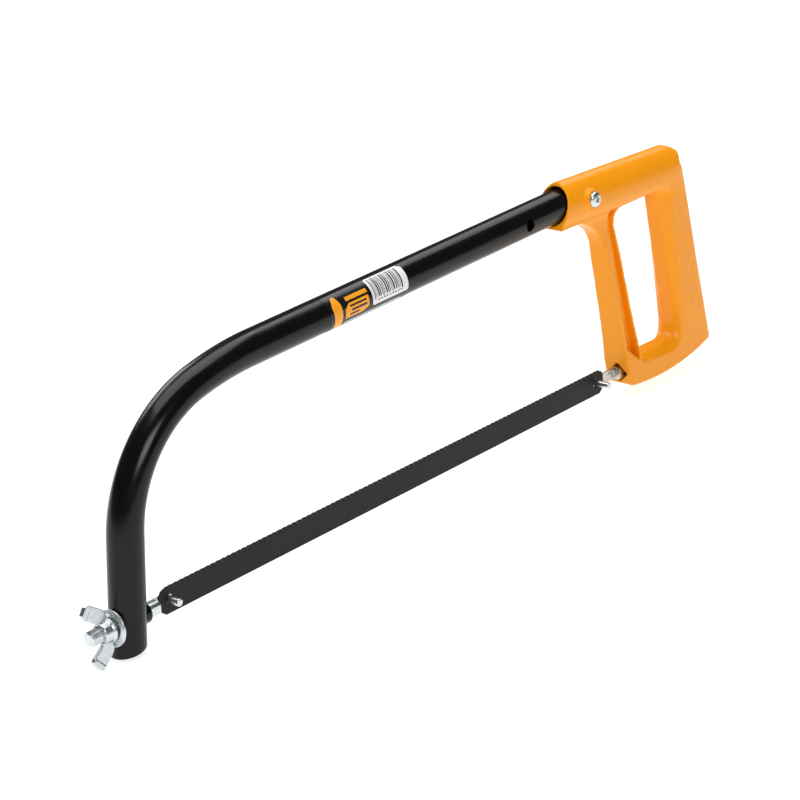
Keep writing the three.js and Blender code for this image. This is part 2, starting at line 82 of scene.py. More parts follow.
blade_low, blade_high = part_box("saw_blade")
ORIGIN = Vector((
    blade_low.x + BLADE["overhang"] * MM,
    blade_low.y - BLADE["near"] * MM,
    (blade_low.z + blade_high.z) / 2,
))
TO_SHARED_FRAME = Matrix.Translation(ORIGIN) @ Matrix.Scale(MM, 4)
TUBE_SLOPE = math.tan(math.radians(TUBE["slope"]))
LEG_SLOPE = math.tan(math.radians(TUBE["lean"]))
FRONT_PIN_X = -(BLADE["hole"] - PIN["radius"] - PIN["slack"])
REAR_PIN_X = BLADE["span"] - FRONT_PIN_X


def tube_z(x):
    return AXIS_AT_MIDDLE[1] + (x - AXIS_AT_MIDDLE[0]) * TUBE_SLOPE


SCREW_Z = tube_z(SCREW["x"])


# ---------- outlines: lists of (u, v) ----------
def arc(cu, cv, radius, start, end, steps):
    """Points on a circle from start to end, in degrees."""
    angles = [math.radians(start + (end - start) * i / steps) for i in range(steps + 1)]
    return [(cu + radius * math.cos(a), cv + radius * math.sin(a)) for a in angles]


def curve(*controls, steps=16):
    """A quadratic or cubic Bezier curve, without its first point."""
    points = []
    for i in range(1, steps + 1):
        level = [Vector(c) for c in controls]
        while len(level) > 1:
            level = [a.lerp(b, i / steps) for a, b in zip(level, level[1:])]
        points.append((level[0].x, level[0].y))
    return points


# ---------- solids ----------
def new_object(bm, name="solid"):
    bmesh.ops.recalc_face_normals(bm, faces=bm.faces)
    mesh = bpy.data.meshes.new(name)
    bm.to_mesh(mesh)
    bm.free()
    obj = bpy.data.objects.new(name, mesh)
    bpy.context.scene.collection.objects.link(obj)
    return obj


def loft(rings, capped=True):
    """A closed solid through rings that hold equally many points."""
    bm = bmesh.new()
    rows = [[bm.verts.new(p) for p in ring] for ring in rings]
    count = len(rings[0])
    for a, b in zip(rows, rows[1:]):
        for i in range(count):
            bm.faces.new((a[i], a[(i + 1) % count], b[(i + 1) % count], b[i]))
    if capped:
        bm.faces.new(rows[0])
        bm.faces.new(rows[-1])
    return new_object(bm)


def side_prism(outline, y0, y1):
    """An outline in X and Z, run across the saw."""
    return loft([[(u, y, v) for u, v in outline] for y in (y0, y1)])


def length_prism(outline, x0, x1):
    """An outline in Y and Z, run along the saw."""
    return loft([[(x, u, v) for u, v in outline] for x in (x0, x1)])


def rod(radius, low, high, axis, centre, sides=64):
    """A plain round cutter along X or Y, at a centre given by its two other coordinates."""
    ring = arc(*centre, radius, 0, 360 * (sides - 1) / sides, sides - 1)
    if axis == "X":
        return length_prism(ring, low, high)
    return side_prism(ring, low, high)


def turned(profile, axis, centre, sides=96):
    """A profile of (radius, distance along the axis) turned about X or Y. It closes on itself or on
    the axis."""
    bm = bmesh.new()
    rows = []
    for r, along in profile:
        row = []
        for i in range(sides if r > 0 else 1):
            a = 2 * math.pi * i / sides
            u, v = centre[0] + r * math.cos(a), centre[1] + r * math.sin(a)
            row.append(bm.verts.new((along, u, v) if axis == "X" else (u, along, v)))
        rows.append(row)
    closed = profile[0][0] > 0
    for a, b in zip(rows, rows[1:] + (rows[:1] if closed else [])):
        for i in range(sides):
            j = (i + 1) % sides
            corners = [a[i % len(a)], a[j % len(a)], b[j % len(b)], b[i % len(b)]]
            bm.faces.new(list(dict.fromkeys(corners)))
    return new_object(bm)


def applied(obj):
    """Applies the object's modifiers to its mesh."""
    graph = bpy.context.evaluated_depsgraph_get()
    mesh = bpy.data.meshes.new_from_object(obj.evaluated_get(graph))
    obj.modifiers.clear()
    obj.data = mesh
    return obj


def combined(obj, others, operation):
    for other in others:
        step = obj.modifiers.new("boolean", "BOOLEAN")
        step.operation = operation
        step.solver = "EXACT"
        step.object = other
    applied(obj)
    for other in others:
        bpy.data.objects.remove(other)
    return obj


def cut(obj, *others):
    return combined(obj, others, "DIFFERENCE")


def joined(obj, *others):
    return combined(obj, others, "UNION")


def kept_inside(obj, *others):
    return combined(obj, others, "INTERSECT")


def remeshed(obj, voxel, smoothing):
    """Even small faces all over, with every edge softened."""
    step = obj.modifiers.new("remesh", "REMESH")
    step.mode = "VOXEL"
    step.voxel_size = voxel
    step = obj.modifiers.new("smooth", "SMOOTH")
    step.factor = 0.5
    step.iterations = smoothing
    return applied(obj)


def bevelled(obj, width, segments):
    step = obj.modifiers.new("bevel", "BEVEL")
    step.width = width
    step.segments = segments
    step.limit_method = "ANGLE"
    step.angle_limit = math.radians(35)
    step.harden_normals = False
    return applied(obj)


def finished(obj, name, body, material, slot, *nodes, sharp=None):
    """Moves a piece made in the saw's frame to its place, gives it its body and material, and hides the nodes
    it replaces.
    """
    obj.name = name
    obj.data.name = name
    obj.data.transform(TO_SHARED_FRAME)
    obj.data.shade_smooth()
    if sharp:
        obj.data.set_sharp_from_angle(angle=math.radians(sharp))
    obj.data.materials.clear()
    obj.data.materials.append(material)
    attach(obj, body)
    if nodes:
        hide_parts(*nodes)


# ---------- materials ----------
class Surface:
    """A Principled material with small helpers for its node tree. Distances in it are metres."""

    def __init__(self, name):
        self.material = bpy.data.materials.new(name)
        self.material.use_nodes = True
        self.tree = self.material.node_tree
        self.shader = self.tree.nodes["Principled BSDF"]
        self.place = self.add("ShaderNodeTexCoord").outputs["Object"]

    def add(self, kind, **settings):
        node = self.tree.nodes.new(kind)
        for key, value in settings.items():
            setattr(node, key, value)
        return node

    def put(self, socket, value):
        if isinstance(value, bpy.types.NodeSocket):
            self.tree.links.new(value, socket)
        else:
            socket.default_value = value

    def set(self, **inputs):
        for name, value in inputs.items():
            self.put(self.shader.inputs[name.replace("_", " ")], value)

    def noise(self, size, detail=4, stretch=(1, 1, 1)):
        """Noise with features of about that size in metres, from 0 to 1."""
        mapping = self.add("ShaderNodeMapping")
        self.put(mapping.inputs["Vector"], self.place)
        mapping.inputs["Scale"].default_value = [1 / (size * s) for s in stretch]
        node = self.add("ShaderNodeTexNoise")
        self.put(node.inputs["Vector"], mapping.outputs["Vector"])
        node.inputs["Scale"].default_value = 1
        node.inputs["Detail"].default_value = detail
        node.inputs["Roughness"].default_value = 0.55
        return node.outputs["Fac"]

    def spots(self, size):
        """Distance to the nearest of scattered points, in cells of that size."""
        node = self.add("ShaderNodeTexVoronoi")
        self.put(node.inputs["Vector"], self.place)
        node.inputs["Scale"].default_value = 1 / size
        node.inputs["Randomness"].default_value = 1
        return node.outputs["Distance"]

    def span(self, value, low, high, to_low, to_high):
        """A value from low to high, carried over to to_low to to_high and held there outside."""
        node = self.add("ShaderNodeMapRange")
        for socket, number in zip(node.inputs[:5], (value, low, high, to_low, to_high)):
            self.put(socket, number)
        return node.outputs["Result"]

    def mix(self, share, a, b):
        node = self.add("ShaderNodeMix", data_type="RGBA")
        self.put(node.inputs["Factor"], share)
        self.put(node.inputs["A"], (*a, 1) if isinstance(a, tuple) else a)
        self.put(node.inputs["B"], (*b, 1) if isinstance(b, tuple) else b)
        return node.outputs["Result"]

    def bump(self, *heights):
        """Each height is (value, distance in metres)."""
        normal = None
        for value, distance in heights:
            node = self.add("ShaderNodeBump")
            node.inputs["Strength"].default_value = 1
            node.inputs["Distance"].default_value = distance
            self.put(node.inputs["Height"], value)
            if normal:
                self.put(node.inputs["Normal"], normal)
            normal = node.outputs["Normal"]
        self.put(self.shader.inputs["Normal"], normal)


def black_enamel():
    """Gloss black paint with orange peel, faint cloudiness and a little dust."""
    s = Surface("black_enamel")
    dust = s.span(s.spots(0.0052), 0.02, 0.035, 0.3, 0.0)
    cloud = s.noise(0.03, 3)
    colour = s.mix(cloud, (0.0022, 0.0021, 0.0019), (0.0045, 0.0043, 0.0038))
    s.set(Base_Color=s.mix(dust, colour, (0.16, 0.16, 0.15)))
    s.set(Roughness=s.span(s.noise(0.012), 0.3, 0.7, 0.16, 0.26), IOR=1.33)
    s.bump((s.noise(0.0011, 2), 0.000014), (s.noise(0.00025, 2), 0.000002))
    return s.material


def orange_enamel():
    """Glossy yellow-orange paint over a casting: soft waviness, orange peel, a few pits and specks."""
    s = Surface("orange_enamel")
    cloud = s.noise(0.02, 3)
    colour = s.mix(cloud, (0.93, 0.325, 0.004), (0.96, 0.35, 0.007))
    speck = s.span(s.spots(0.017), 0.009, 0.016, 0.45, 0.0)
    s.set(Base_Color=s.mix(speck, colour, (0.3, 0.09, 0.008)))
    s.set(Roughness=s.span(s.noise(0.008), 0.3, 0.7, 0.22, 0.32), IOR=1.32)
    pits = s.span(s.spots(0.006), 0.02, 0.05, 0.0, 1.0)
    s.bump((s.noise(0.006, 2), 0.00007), (s.noise(0.0009, 2), 0.00001), (pits, 0.000025))
    return s.material


def zinc_plate(name="zinc_plate", dull=0.0, tint=(0.71, 0.76, 0.77)):
    """Bright bluish zinc plating with forging texture and fine scratches."""
    s = Surface(name)
    dark = tuple(c * 0.8 for c in tint)
    s.set(Base_Color=s.mix(s.noise(0.0025, 3), dark, tint), Metallic=1.0)
    s.set(Roughness=s.span(s.noise(0.0012, 5), 0.3, 0.7, 0.24 + dull, 0.38 + dull))
    scratch = s.noise(0.0008, 3, stretch=(6, 1, 0.25))
    s.bump((s.noise(0.0026, 2), 0.00006), (scratch, 0.000005))
    return s.material


def blade_enamel():
    """Satin charcoal enamel on the blade, worn a little at the tips of the teeth."""
    s = Surface("blade_enamel")
    separate = s.add("ShaderNodeSeparateXYZ")
    s.put(separate.inputs[0], s.place)
    tip = blade_high.z
    worn = s.span(separate.outputs["Z"], tip - 0.0004, tip, 0.0, 0.22)
    grain = s.noise(0.0007, 4, stretch=(0.3, 1, 6))
    colour = s.mix(grain, (0.0075, 0.0071, 0.0057), (0.0115, 0.0107, 0.0089))
    s.set(Base_Color=s.mix(worn, colour, (0.13, 0.125, 0.12)), IOR=1.28)
    s.set(Roughness=s.span(s.noise(0.006), 0.3, 0.7, 0.36, 0.46))
    s.bump((grain, 0.000008), (s.noise(0.0006, 2), 0.000005))
    return s.material


def label_print(name, low_tone, high_tone, roughness):
    """A printed film: slightly uneven ink under a satin laminate."""
    s = Surface(name)
    s.set(Base_Color=s.mix(s.noise(0.008), low_tone, high_tone))
    s.set(Roughness=s.span(s.noise(0.004), 0.3, 0.7, roughness, roughness + 0.08), IOR=1.42)
    s.bump((s.noise(0.0015, 2), 0.00001))
    return s.material


BLACK = black_enamel()
ORANGE = orange_enamel()
ZINC = zinc_plate()
DULL_ZINC = zinc_plate("zinc_plate_dull", -0.06, (0.60, 0.58, 0.54))
CHARCOAL = blade_enamel()
FILM_BLACK = label_print("label_black", (0.004, 0.004, 0.008), (0.007, 0.007, 0.013), 0.2)
FILM_ORANGE = label_print("label_orange", (0.90, 0.34, 0.01), (0.94, 0.40, 0.02), 0.3)
FILM_WHITE = label_print("label_white", (0.80, 0.79, 0.77), (0.86, 0.85, 0.83), 0.35)


# ---------- frame tube ----------
def bend_steps():
    """The bend as (x, z) away from the straight run, with its heading: a wide arc and then a tight one."""
    whole = math.radians(90 - TUBE["lean"] - TUBE["slope"])
    arcs = [
        (BEND["wide"], whole * BEND["share"], BEND["wide_steps"]),
        (BEND["tight"], whole * (1 - BEND["share"]), BEND["tight_steps"]),
    ]
    heading = math.radians(TUBE["slope"])
    points = [(0, 0, heading)]
    for radius, angle, steps in arcs:
        turn = angle / steps
        chord = 2 * radius * math.sin(turn / 2)
        for _ in range(steps):
            x, z, _heading = points[-1]
            x -= chord * math.cos(heading + turn / 2)
            z -= chord * math.sin(heading + turn / 2)
            heading += turn
            points.append((x, z, heading))
    return points


def tube_stations():
    """Along the tube's axis from its end in the handle to its foot: (x, z, heading, share of the squeeze)."""
    bent = bend_steps()
    dx, dz, leg_heading = bent[-1]
    start_x = (LEG_X + (tube_z(0) + dz) * LEG_SLOPE - dx) / (1 - LEG_SLOPE * TUBE_SLOPE)
    start_z = tube_z(start_x)
    straight_steps = 130
    straight = []
    for i in range(straight_steps):
        x = TUBE["end"] + (start_x - TUBE["end"]) * i / straight_steps
        straight.append((x, tube_z(x), bent[0][2], 0))
    last = len(bent) - 1
    curved = [
        (start_x + x, start_z + z, heading, math.sin(math.pi * i / last))
        for i, (x, z, heading) in enumerate(bent)
    ]
    foot = (LEG_X + FOOT["z"] * LEG_SLOPE, FOOT["z"])
    top = curved[-1]
    leg_steps = 30
    leg = []
    for i in range(1, leg_steps + 1):
        share = i / leg_steps
        leg.append((top[0] + (foot[0] - top[0]) * share, top[1] + (foot[1] - top[1]) * share, leg_heading, 0))
    return straight + curved + leg


def tube_ring(station, radius):
    """A ring round the axis."""
    sides = 96
    x, z, heading, squeeze = station
    along = Vector((math.cos(heading), 0, math.sin(heading)))
    out = Vector((-along.z, 0, along.x))
    centre = Vector((x, 0, z))
    in_plane = radius - TUBE["flatten"] * squeeze
    ring = []
    for i in range(sides):
        a = 2 * math.pi * i / sides
        ring.append(centre + out * in_plane * math.cos(a) + Vector((0, radius * math.sin(a), 0)))
    return ring


def foot_ring(station, radius, above=0.0):
    """A ring run down the leg to its foot, whose cut rises towards the back of the leg."""
    heading = station[2]
    down = Vector((-math.cos(heading), 0, -math.sin(heading)))
    ring = []
    for point in tube_ring(station, radius):
        height = point.z - FOOT["z"] - above - FOOT["rise"] * (point.x - LEG_X)
        ring.append(point + down * height / (FOOT["rise"] * down.x - down.z))
    return ring


def frame_tube():
    stations = tube_stations()
    rounding = 0.3
    outer = [tube_ring(s, TUBE["radius"]) for s in stations[:-1]]
    foot = stations[-1]
    outer.append(foot_ring(foot, TUBE["radius"], rounding))
    outer.append(foot_ring(foot, TUBE["radius"] - rounding * 0.3, rounding * 0.3))
    outer.append(foot_ring(foot, TUBE["radius"] - rounding))
    inner = [foot_ring(foot, TUBE["bore"] + rounding)]
    inner.append(foot_ring(foot, TUBE["bore"] + rounding * 0.3, rounding * 0.3))
    inner.append(foot_ring(foot, TUBE["bore"], rounding))
    inner += [tube_ring(s, TUBE["bore"]) for s in reversed(stations[:-1])]
    rings = outer + inner
    tube = loft(rings + rings[:1], capped=False)
    bm = bmesh.new()
    bm.from_mesh(tube.data)
    bmesh.ops.remove_doubles(bm, verts=bm.verts, dist=1e-5)
    bmesh.ops.recalc_face_normals(bm, faces=bm.faces)
    bm.to_mesh(tube.data)
    bm.free()
    cut(
        tube,
        rod(SCREW["hole"], -12, 12, "Y", (SCREW["x"], SCREW_Z)),
        rod(SPARE_HOLE["radius"], -12, 12, "Y", (SPARE_HOLE["x"], tube_z(SPARE_HOLE["x"]))),
        rod(BUSH["radius"] + 0.15, BUSH["front"] - 6, BUSH["rear"] + 6, "X", (0, 0)),
    )
    finished(tube, "tube_bent", "frame", BLACK, "black_enamel", "frame_tube", sharp=35)


# ---------- handle ----------
def front_face_x(z):
    return FRONT_FACE["foot"] - FRONT_FACE["lean"] * z


def leg_rear_x(z):
    return LEG_REAR["foot"] - LEG_REAR["lean"] * z


def grip_front_x(z):
    return GRIP_FRONT["foot"] - GRIP_FRONT["lean"] * z


def rear_x(z):
    return REAR_EDGE["foot"] - REAR_EDGE["lean"] * z


def rear_prism(outline):
    """A solid along the leaning rear edge, drawn as seen from above with x = 0 on that edge."""
    return loft([[(rear_x(z) + u, v, z) for u, v in outline] for z in (-20, 140)])


def bar_placed(obj):
    """Moves a solid drawn about the bar's own axis to its place on the handle."""
    place = Matrix.Translation((TOP_BAR["x"], 0, TOP_BAR["z"]))
    obj.data.transform(place @ Matrix.Rotation(math.radians(-TOP_BAR["slope"]), 4, "Y"))
    return obj


def bar_section():
    """The top bar's section in Y and Z: a tall crown, drawn in below to a flat flange."""
    side, crown, crease, flange = (TOP_BAR[key] for key in ("side", "crown", "crease", "flange"))
    half = [(flange, crease - 5), (flange, crease)]
    half += curve((flange, crease), (8.8, -7.2), (side, -4.8), (side, -1.5), steps=20)
    half += curve((side, -1.5), (side, 3.6), (5.4, crown), (0, crown), steps=40)
    return half + [(-y, z) for y, z in reversed(half[:-1])]


def handle_bar():
    side, ledge, top = TOP_BAR["side"], HANDLE["ledge"], 117
    bar = bar_placed(length_prism(bar_section(), -65, 65))

    def mouth_x(z):
        return MOUTH["x"] + (z - MOUTH["z"]) / MOUTH["run"]

    outline = [(mouth_x(ledge), ledge), (rear_x(ledge), ledge), (rear_x(98), 98)]
    outline += curve(outline[-1], (rear_x(106.5), 106.5), (rear_x(110) - 4, 110.5), (rear_x(110) - 11, 110.8))
    outline += [(rear_x(110) - 19, top), (mouth_x(top), top)]
    plan = arc(-side, 0, side, -90, 90, 64) + [(-150, side), (-150, -side)]
    return kept_inside(bar, side_prism(outline, -20, 20), rear_prism(plan))


def plate_outline():
    ledge = HANDLE["ledge"]
    heel = (front_face_x(-6.4) + 1.6, -6.7)
    toe = (rear_x(-0.6) - 4, -2.0)
    outline = [(front_face_x(-5.2), -5.2)]
    outline += curve(outline[-1], (front_face_x(-6.4), -6.4), heel, steps=8)
    outline += curve(heel, (357, -11.2), toe, steps=32)
    outline += curve(toe, (rear_x(-0.6), -0.6), (rear_x(3), 3), steps=8)
    outline += [(rear_x(98), 98), (281, 98), (281, ledge)]
    outline += curve((281, ledge), (291, 87.5), (302.3, 83), (front_face_x(70), 70), steps=32)
    return outline


def opening_outline(left):
    floor, rear, top = OPENING["floor"], OPENING["rear_corner"], HANDLE["ledge"]
    leg_corner, top_corner = OPENING["leg_corner"], OPENING["top_corner"]

    def leg_x(z):
        return leg_rear_x(z) + left

    points = [(leg_x(floor), floor), (grip_front_x(floor) - rear, floor)]
    points += curve(points[-1], (grip_front_x(floor), floor), (grip_front_x(floor + rear), floor + rear))
    points += [(grip_front_x(z), z) for z in (30, 45, 60, 75)]
    points.append((grip_front_x(top - top_corner), top - top_corner))
    points += curve(points[-1], (grip_front_x(top), top), (grip_front_x(top) - top_corner, top))
    points.append((leg_x(top) + leg_corner, top))
    points += curve(points[-1], (leg_x(top), top), (leg_x(top - leg_corner), top - leg_corner))
    return points


def bevel_ring(side, y):
    """The opening's outline at a distance across the saw: it grows from the wall's edge to the face,
    most at the top of the grip."""
    wall, floor, half, ledge = OPENING["wall"], OPENING["floor"], HANDLE["half"], HANDLE["ledge"]
    share = (y - wall) / (half - wall)
    ring = []
    for x, z in opening_outline(BEVEL["shift"]):
        across = ((x - leg_rear_x(z)) / (grip_front_x(z) - leg_rear_x(z))) ** 3
        down = ((ledge - z) / (ledge - floor)) ** 3
        rearward = share * across * (BEVEL["rear"] + BEVEL["rear_growth"] * z)
        downward = share * down * (BEVEL["floor"] + BEVEL["floor_growth"] * (x - leg_rear_x(floor)))
        ring.append((x + rearward, side * y, z - downward))
    return ring


def opening_cutters():
    """The opening's through cut, and its bevel along the grip side and floor on both faces."""
    cutters = [side_prism(opening_outline(0), -20, 20)]
    for side in (-1, 1):
        cutters.append(loft([bevel_ring(side, OPENING["wall"]), bevel_ring(side, HANDLE["half"] + 2.2)]))
    return cutters


def leg_cutters():
    """The leg is slimmest below the bar and widens again towards the blade holder."""
    half, ledge = HANDLE["half"], HANDLE["ledge"]
    right = [(half, ledge)] + curve((half, ledge), (4.7, ledge), (4.3, 80))
    right += curve((4.3, 80), (4.6, 74), (5.2, 66)) + [(5.9, 36)] + curve((5.9, 36), (6.3, 24), (7.0, 15))
    right += [(half, 6.3), (14, 6.3), (14, ledge)]
    left = [(-y, z) for y, z in right]
    return [length_prism(outline, 275, 331) for outline in (right, left)]


def pocket_cutters():
    web, rim, top = POCKET["web"], POCKET["rim"], POCKET["top"]

    def rim_x(z):
        return leg_rear_x(z) - rim

    outline = [(308.5, top), (308, 84), (316.9, 28), (318, 13.9), (327.6, 5.2), (rim_x(9), 9)]
    outline.append((rim_x(79), 79))
    outline += curve(outline[-1], (rim_x(top), top), (rim_x(top) + 6, top))
    return [side_prism(outline, *span) for span in ((web, 14), (-14, -web))]


def grip_plan(half, front):
    """The handle's plan at the grip, given as half its thickness: round at the rear edge, at x = 0."""
    corner = HANDLE["grip_round"] + half - HANDLE["half"]
    right = arc(-corner, half - corner, corner, 0, 90, 16) + front
    return right + [(x, -y) for x, y in reversed(right)] + [(0, 0)]


def grip_swelling():
    """The grip thickens towards the top bar, so that the two run into each other. The swelling starts
    inside the plate."""
    half, low, high, inset = (SWELLING[key] for key in ("half", "from", "to", "inset"))
    thin = HANDLE["half"] - SWELLING["under"]
    right = [(thin, low)] + curve((thin, low), (thin + 0.6, 78), (half, high), steps=24)
    section = right + [(-y, z) for y, z in reversed(right)]
    plan = [(x - inset, y) for x, y in grip_plan(half, [(-18, half), (-34, thin)])]
    return kept_inside(length_prism(section, 335, 385), rear_prism(plan))


def handle_plate():
    half = HANDLE["half"]
    plate = side_prism(plate_outline(), -half, half)
    kept_inside(plate, rear_prism(grip_plan(half, [(-150, half)])))
    joined(plate, grip_swelling())
    return cut(plate, *opening_cutters(), *leg_cutters(), *pocket_cutters())


def ramp(value, low, high):
    """From 0 at low to 1 at high, easing in and out."""
    share = min(1, max(0, (value - low) / (high - low)))
    return share * share * (3 - 2 * share)


def grip_softened(obj):
    """The casting's grip end is rounder than the rest: the bar runs into the grip without a crease, and
    the opening's bevel is soft."""
    group = obj.vertex_groups.new(name="soft")
    for vertex in obj.data.vertices:
        x, _y, z = vertex.co
        share = ramp(x, 326, 342) * ramp(z, -7, 0) * ramp(rear_x(z) - x, -1, 3)
        if share > 0.01:
            group.add([vertex.index], share, "REPLACE")
    step = obj.modifiers.new("soften", "SMOOTH")
    step.factor = 0.5
    step.iterations = 45
    step.vertex_group = "soft"
    applied(obj)
    obj.vertex_groups.clear()


def socket_cutter():
    """The oval bore for the tube, along the bar's own axis."""
    side, height, lift, floor = (SOCKET[key] for key in ("side", "height", "lift", "floor"))
    circle = arc(0, 0, 1, 0, 356.25, 95)
    oval = [(side * u, height * v + lift) for u, v in circle]
    return bar_placed(length_prism(oval, -70, floor - TOP_BAR["x"]))


def handle():
    boss = rod(SCREW["boss"], -SCREW["seat"], SCREW["seat"], "Y", (SCREW["x"], SCREW_Z))
    body = joined(handle_bar(), handle_plate(), boss)
    square = arc(0, 0, HANDLE["hole"] * math.sqrt(2), 0, 270, 3)
    cut(
        body,
        socket_cutter(),
        rod(SCREW["hole"], -20, 20, "Y", (SCREW["x"], SCREW_Z)),
        length_prism(square, 305, 329),
        rod(CROSS_PIN["radius"] + 0.1, CROSS_PIN["inner"], 20, "Y", (CROSS_PIN["x"], 0)),
    )
    remeshed(body, HANDLE["voxel"], 5)
    grip_softened(body)
    finished(body, "handle_casting", "frame", ORANGE, "orange_enamel", "handle")


# ---------- fasteners and blade holders ----------
def cross_slots(top):
    """The screw's cross recess: two tapered slots, sunk into the head from its top."""
    first_turn = 0.4
    centre = Vector((SCREW["x"], SCREW_Z))
    slots = []
    for turn in (first_turn, first_turn + math.pi / 2):
        u = Vector((math.cos(turn), math.sin(turn)))
        v = Vector((-math.sin(turn), math.cos(turn)))
        rings = []
        for y, long, wide in ((top - 0.5, 2.3, 0.6), (top + 1.4, 1.1, 0.35)):
            signs = ((1, 1), (-1, 1), (-1, -1), (1, -1))
            corners = [centre + u * long * a + v * wide * b for a, b in signs]
            rings.append([(c.x, y, c.y) for c in corners])
        slots.append(loft(rings))
    return slots


def handle_screw():
    head, rise, shank, seat = (SCREW[key] for key in ("head", "rise", "shank", "seat"))
    tip, top = seat + 5.2, -seat - rise
    profile = [(0, tip), (shank - 0.4, tip), (shank, tip - 0.4), (shank, -seat), (head - 0.1, -seat),
               (head, -seat - 0.1), (head, -seat - 0.8)]
    profile += curve(profile[-1], (head * 0.93, top), (0, top), steps=14)[:-1] + [(0, top)]
    screw = turned(profile, "Y", (SCREW["x"], SCREW_Z))
    cut(screw, *cross_slots(top))
    finished(screw, "screw_cross_head", "frame", ZINC, "zinc_plate", "handle_screw", sharp=32)


def handle_nut():
    across, thick = 8, 3.6
    y0 = SCREW["seat"] + 0.1
    y1 = y0 + thick
    nut = side_prism(arc(SCREW["x"], SCREW_Z, across / math.sqrt(3), 0, 300, 5), y0, y1)
    rounding = [(0, y0), (4.3, y0), (4.62, y0 + 0.25), (4.62, y1 - 0.25), (4.3, y1), (0, y1)]
    kept_inside(nut, turned(rounding, "Y", (SCREW["x"], SCREW_Z)))
    cut(nut, rod(SCREW["shank"] + 0.1, y0 - 1, y1 + 1, "Y", (SCREW["x"], SCREW_Z)))
    bevelled(nut, 0.12, 2)
    finished(nut, "nut_hex", "frame", ZINC, "zinc_plate", "handle_nut", sharp=40)


def turned_square(half, radius):
    """The section of square stock whose corners are turned down to a radius."""
    start = math.degrees(math.acos(half / radius))
    outline = []
    for corner in range(4):
        outline += arc(0, 0, radius, corner * 90 + start, corner * 90 + 90 - start, 8)
    return outline


def flat_cutter(x0, x1):
    """Mills the near side of bar stock to the flat that the blade lies on."""
    return length_prism([(-12, -10), (BAR["flat"], -10), (BAR["flat"], 10), (-12, 10)], x0, x1)


def rear_holder():
    half, major, chamfer = BAR["half"], BAR["turned"], 0.5
    x0, x1 = HOLDER["front"], HOLDER["rear"]
    full = turned_square(half, major)
    small = turned_square(half - chamfer, major - chamfer)
    rings = [(x0, small), (x0 + chamfer, full), (x1 - chamfer, full), (x1, small)]
    bar = loft([[(x, u, v) for u, v in ring] for x, ring in rings])
    cut(bar, flat_cutter(x0 - 1, HOLDER["flat_end"]))
    bevelled(bar, 0.25, 3)
    finished(bar, "holder_bar", "frame", DULL_ZINC, "zinc_plate", "rear_blade_holder", sharp=40)


def threaded_part():
    """Rings of the bolt's front stretch: square stock whose corners and top and bottom carry the thread."""
    x0, x1 = BOLT["front"], BOLT["thread_end"]
    half, major, root, pitch = BAR["half"], BAR["turned"], BOLT["root"], BOLT["pitch"]
    sides, steps = 144, int((x1 - x0) / pitch * 10)
    rings = []
    for i in range(steps + 1):
        x = x0 + (x1 - x0) * i / steps
        lead = min(1, (x - x0) / 0.7)
        ring = []
        for k in range(sides):
            a = 2 * math.pi * k / sides
            cy, cz = math.cos(a), math.sin(a)
            side_flat, top_flat = half / max(abs(cy), 1e-6), half / max(abs(cz), 1e-6)
            phase = (x / pitch - k / sides) % 1
            ridge = 1 - abs(2 * phase - 1)
            thread = root + (major - root) * min(1, max(0, ridge * 1.35 - 0.15))
            r = min(side_flat, thread, max(top_flat, thread - 0.12))
            r = min(r, top_flat + 0.08, major) - 0.45 * (1 - lead)
            ring.append((x, r * cy, r * cz))
        rings.append(ring)
    return rings


def tension_bolt():
    rings = threaded_part()
    half, major = BAR["half"], BAR["turned"]
    sides = len(rings[0])

    def plain(x, less=0.0):
        ring = []
        for k in range(sides):
            a = 2 * math.pi * k / sides
            r = min(half / max(abs(math.cos(a)), abs(math.sin(a))), major) - less
            ring.append((x, r * math.cos(a), r * math.sin(a)))
        return ring

    rings += [plain(BOLT["thread_end"] + 0.6), plain(BOLT["rear"] - 0.4), plain(BOLT["rear"], 0.4)]
    bolt = cut(loft(rings), flat_cutter(BOLT["flat_end"], BOLT["rear"] + 1))
    finished(bolt, "bolt_square_threaded", "tensioner", ZINC, "zinc_plate", "tension_bolt", sharp=30)


def blade_pin(x, tip, name, body, node):
    radius = PIN["radius"]
    profile = [(0, tip), (radius - 0.75, tip)]
    profile += curve((radius - 0.75, tip), (radius, tip), (radius, tip + 0.75), steps=8)
    profile += [(radius, BAR["flat"] + 1.4), (0, BAR["flat"] + 1.4)]
    finished(turned(profile, "Y", (x, 0)), name, body, ZINC, "zinc_plate", node, sharp=40)


def holder_stud():
    y, r = BAR["flat"], 1.15
    profile = [(0, y - 0.8)] + curve((0, y - 0.8), (r, y - 0.8), (r, y - 0.02), steps=10)
    profile += [(0.7, y - 0.02), (0.7, y + 1.1), (0, y + 1.1)]
    stud = turned(profile, "Y", (HOLDER["stud"], 0.5), 48)
    finished(stud, "stud_domed", "frame", ZINC, "zinc_plate", "holder_stud", sharp=40)


def cross_pin():
    r, y0, y1 = CROSS_PIN["radius"], CROSS_PIN["inner"] + 0.1, HANDLE["half"] - 0.4
    profile = [(0, y0), (r - 0.3, y0), (r, y0 + 0.3), (r, y1 - 0.3), (r - 0.3, y1), (0, y1)]
    pin = turned(profile, "Y", (CROSS_PIN["x"], 0))
    finished(pin, "pin_holder_lock", "frame", ZINC, "zinc_plate", "holder_cross_pin", sharp=40)


def guide_bush():
    radius, front, rear = BUSH["radius"], BUSH["front"], BUSH["rear"]
    profile = [(0, front), (radius - 0.3, front), (radius, front + 0.3), (radius, rear - 1.2)]
    profile += curve((radius, rear - 1.2), (radius, rear), (radius - 1.2, rear), steps=8) + [(0, rear)]
    bush = turned(profile, "X", (0, 0))
    cut(bush, length_prism(turned_square(BAR["half"] + 0.2, BAR["turned"] + 0.25), front - 1, rear + 1))
    finished(bush, "bush_guide", "frame", BLACK, "black_enamel", "guide_bush", sharp=35)


